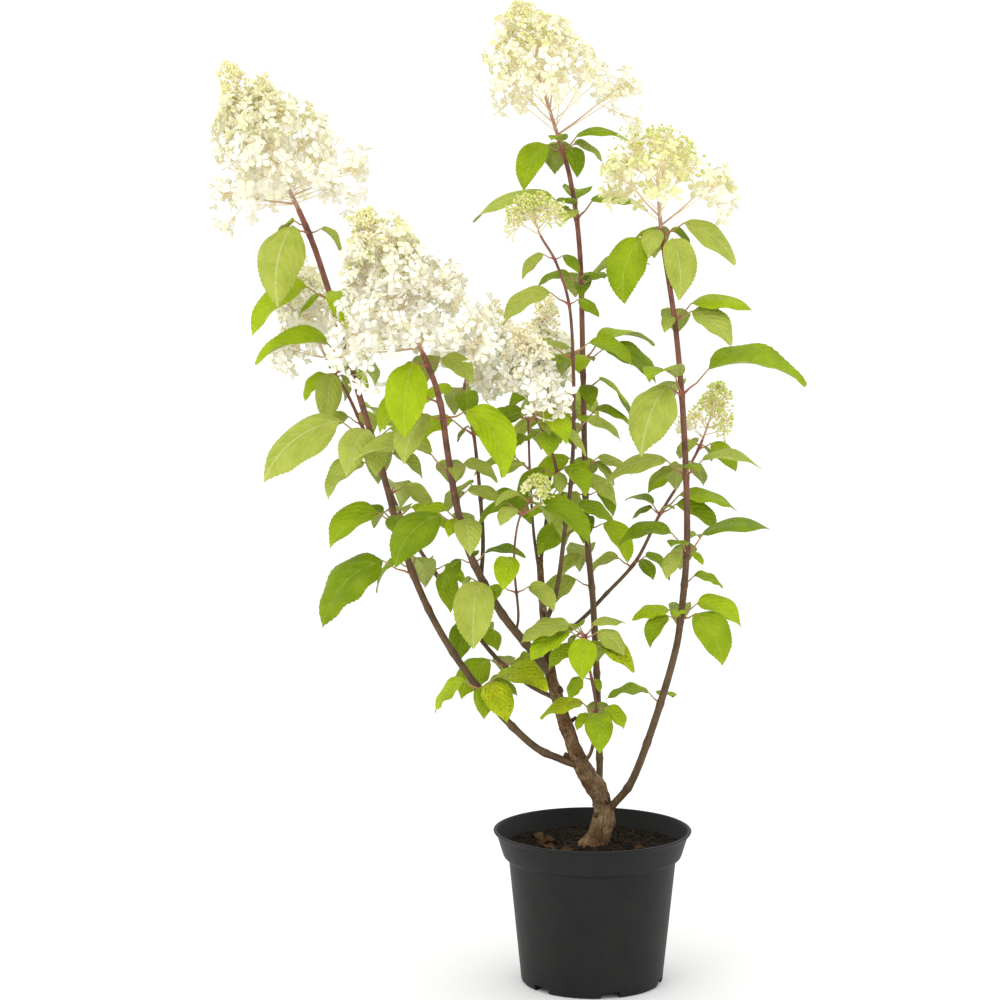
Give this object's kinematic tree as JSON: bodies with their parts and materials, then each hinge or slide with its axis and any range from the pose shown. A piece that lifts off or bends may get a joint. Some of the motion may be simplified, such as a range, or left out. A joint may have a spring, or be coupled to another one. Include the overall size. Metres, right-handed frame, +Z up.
{
  "type": "potted panicle hydrangea",
  "caption": "Young flowering shrub in a round black nursery pot: leaning forked trunk, long arching canes, leafy shoots and cone-shaped flower panicles at their tips.",
  "frame": {"origin": "centre of the pot's flat underside, on the surface that it stands on", "axes": "+Z up, +Y to the back of the plant as pictured, +X to its right"},
  "size_m": [0.6799, 0.3932, 1.1211],
  "materials": {
    "pot_plastic": "satin",
    "compost": "matte",
    "old_bark": "matte",
    "cane_bark": "satin",
    "leaf": "satin",
    "petals": "matte"
  },
  "bodies": {
    "root": {"pot": "pot_plastic", "compost": "compost", "trunk": "old_bark", "leader": "old_bark", "left_cane": "cane_bark", "middle_cane": "cane_bark", "tall_cane": "cane_bark", "right_cane": "cane_bark", "back_right_cane": "cane_bark", "back_left_cane": "cane_bark", "inner_cane": "cane_bark", "left_leaves": "leaf", "middle_leaves": "leaf", "tall_leaves": "leaf", "right_leaves": "leaf", "back_right_leaves": "leaf", "back_left_leaves": "leaf", "back_middle_leaves": "leaf", "inner_leaves": "leaf", "front_leaves": "leaf", "back_leaves": "leaf", "inner_back_leaves": "leaf", "low_front_leaves": "leaf", "low_middle_leaves": "leaf", "low_left_leaves": "leaf", "left_panicle": "petals", "middle_panicle": "petals", "tall_panicle": "petals", "right_panicle": "petals", "back_right_panicle": "petals", "back_left_panicle": "petals", "back_middle_panicle": "petals", "inner_panicle": "petals", "front_panicle": "petals", "back_panicle": "petals", "low_front_panicle": "petals"}
  },
  "joints": []
}
